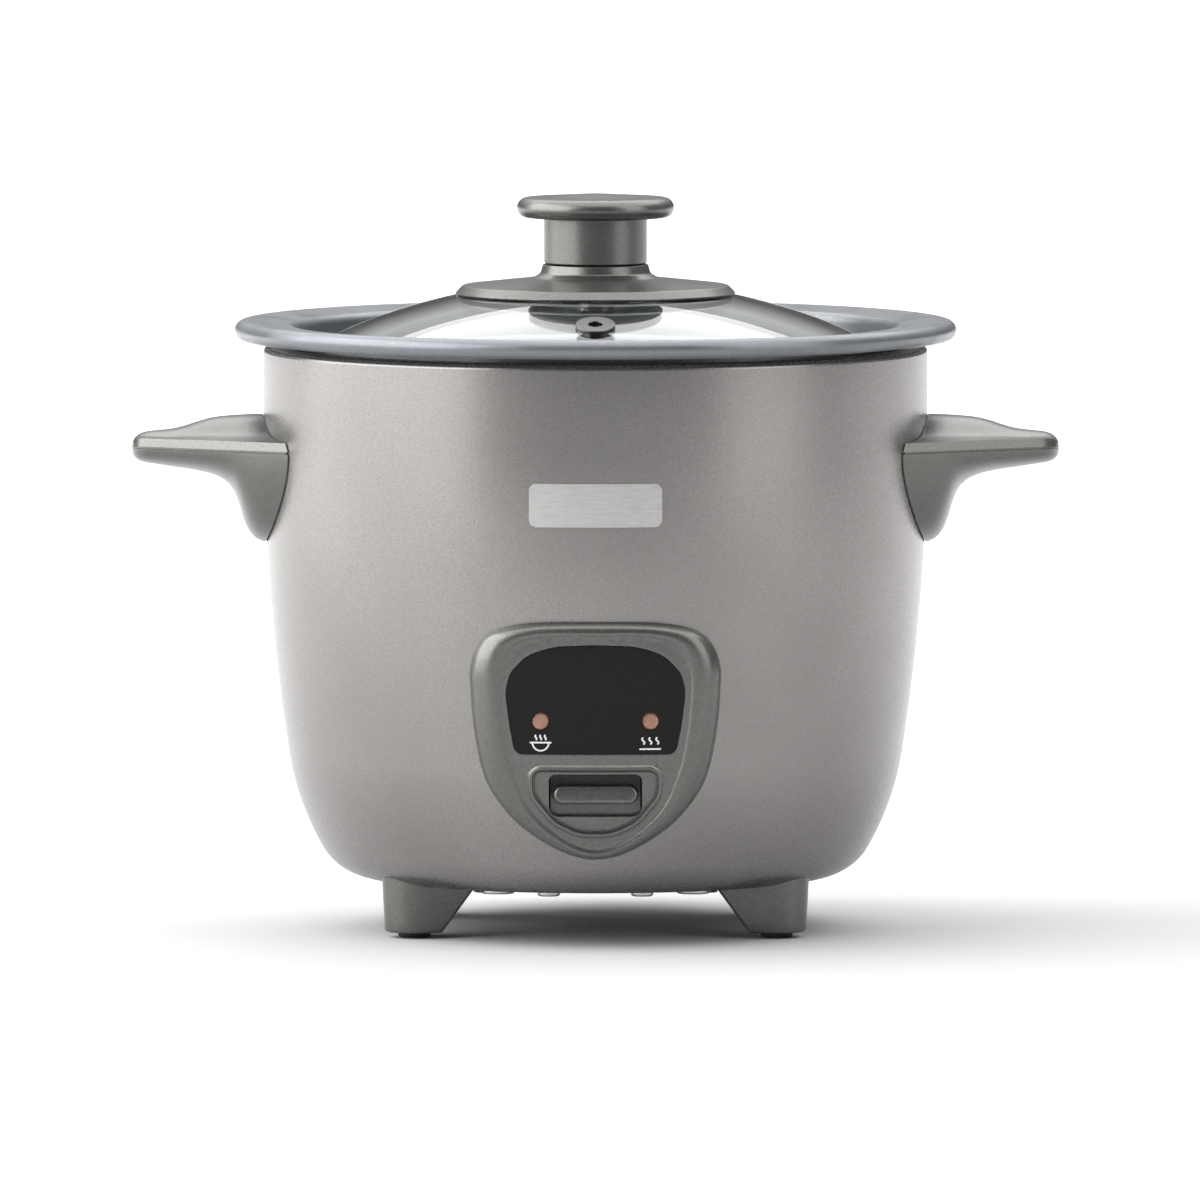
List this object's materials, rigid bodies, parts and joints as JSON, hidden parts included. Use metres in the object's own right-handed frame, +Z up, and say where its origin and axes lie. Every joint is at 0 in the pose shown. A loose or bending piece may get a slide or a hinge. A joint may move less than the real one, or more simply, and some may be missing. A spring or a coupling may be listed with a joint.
{
  "type": "rice cooker",
  "caption": "Small countertop rice cooker: a painted steel tub on short feet with side handles, a lift-out pot, a domed glass lid, and a press-down cook switch under a dark lamp window.",
  "frame": {"origin": "on the table, at the centre of the footprint, on the axis of the body", "axes": "+Z up; +X to the right along the two handles; the control panel faces -Y and the cord inlet faces +Y"},
  "size_m": [0.2006, 0.156, 0.1589],
  "materials": {
    "painted_steel": "satin metallic grey paint",
    "moulded_plastic": "satin metallic grey moulded plastic",
    "window_plastic": "smooth black",
    "lamp_plastic": "translucent amber",
    "plate_metal": "fine brushed",
    "liner_steel": "zinc plated sheet",
    "cast_aluminium": "turned casting",
    "coated_aluminium": "blue grey non-stick coating on aluminium",
    "element_sheath": "heat tinted",
    "steel_fasteners": "zinc plated",
    "vent_metal": "satin",
    "brass": "satin",
    "black_plastic": "fine grain",
    "fuse_ceramic": "smooth",
    "board": "phenolic board",
    "ferrite": "sintered",
    "rubber": "matte",
    "lid_glass": "clear tempered"
  },
  "bodies": {
    "housing": {"back_left_foot": "moulded_plastic", "back_left_pad": "rubber", "back_right_foot": "moulded_plastic", "back_right_pad": "rubber", "bezel_screws": "steel_fasteners", "bottom_cover": "liner_steel", "bottom_cover_screws": "steel_fasteners", "bracket_screws": "steel_fasteners", "chamber_liner": "liner_steel", "control_bezel": "moulded_plastic", "cook_lamp": "lamp_plastic", "foot_screws": "steel_fasteners", "front_left_foot": "moulded_plastic", "front_left_pad": "rubber", "front_right_foot": "moulded_plastic", "front_right_pad": "rubber", "fuse_clip": "liner_steel", "handle_screws": "steel_fasteners", "heater_element": "element_sheath", "heating_plate": "cast_aluminium", "indicator_window": "window_plastic", "inlet_pins": "brass", "inlet_screws": "steel_fasteners", "keep_warm_thermostat": "brass", "lamp_board": "board", "lamp_board_screws": "steel_fasteners", "left_handle": "moulded_plastic", "lever_bracket": "liner_steel", "lever_pin": "steel_fasteners", "magnet_spring": "steel_fasteners", "main_switch": "black_plastic", "name_plate": "plate_metal", "outer_shell": "painted_steel", "plate_screws": "steel_fasteners", "plate_standoffs": "steel_fasteners", "power_inlet": "black_plastic", "right_handle": "moulded_plastic", "sensor_guide": "liner_steel", "sensor_spring": "steel_fasteners", "switch_bracket": "liner_steel", "switch_rivets": "steel_fasteners", "thermal_fuse": "fuse_ceramic", "warm_lamp": "lamp_plastic"},
    "cook_lever": {"cook_lever": "liner_steel", "cook_button": "moulded_plastic"},
    "magnet": {"magnet_rod": "steel_fasteners", "magnet": "ferrite"},
    "plunger": {"switch_plunger": "black_plastic"},
    "sensor": {"sensor_cap": "cast_aluminium", "sensor_ferrite": "ferrite"},
    "pot": {"inner_pot": "coated_aluminium"},
    "lid": {"lid_glass": "lid_glass", "lid_knob": "moulded_plastic", "knob_base": "moulded_plastic", "knob_insert": "brass", "knob_screw": "steel_fasteners", "knob_washer": "steel_fasteners", "vent_grommet": "vent_metal"}
  },
  "joints": [
    {"name": "cook_lever_pivot", "type": "hinge", "parent": "housing", "child": "cook_lever", "pos_m": [0, -0.03, 0.031], "axis": [1, 0, 0], "range_deg": [0, 4], "stiffness_Nm_per_rad": 0.3, "springref_deg": -4.58},
    {"name": "magnet_slide", "type": "slide", "parent": "housing", "child": "magnet", "axis": [0, 0, 1], "range_m": [0, 0.0022], "deforming": ["magnet_spring"]},
    {"name": "plunger_slide", "type": "slide", "parent": "housing", "child": "plunger", "axis": [0, 0, -1], "range_m": [0, 0.0011]},
    {"name": "sensor_slide", "type": "slide", "parent": "housing", "child": "sensor", "axis": [0, 0, 1], "range_m": [-0.0012, 0], "stiffness_N_per_m": 400, "springref_m": 0.003, "deforming": ["sensor_spring"]},
    {"name": "pot_lift", "type": "slide", "parent": "housing", "child": "pot", "axis": [0, 0, 1], "range_m": [0, 0.11]},
    {"name": "lid_lift", "type": "slide", "parent": "pot", "child": "lid", "axis": [0, 0, 1], "range_m": [0, 0.09]}
  ],
  "couplings": [
    {"joint": "magnet_slide", "follows": "cook_lever_pivot", "m_per_rad": 0.03},
    {"joint": "plunger_slide", "follows": "cook_lever_pivot", "m_per_rad": 0.014}
  ]
}
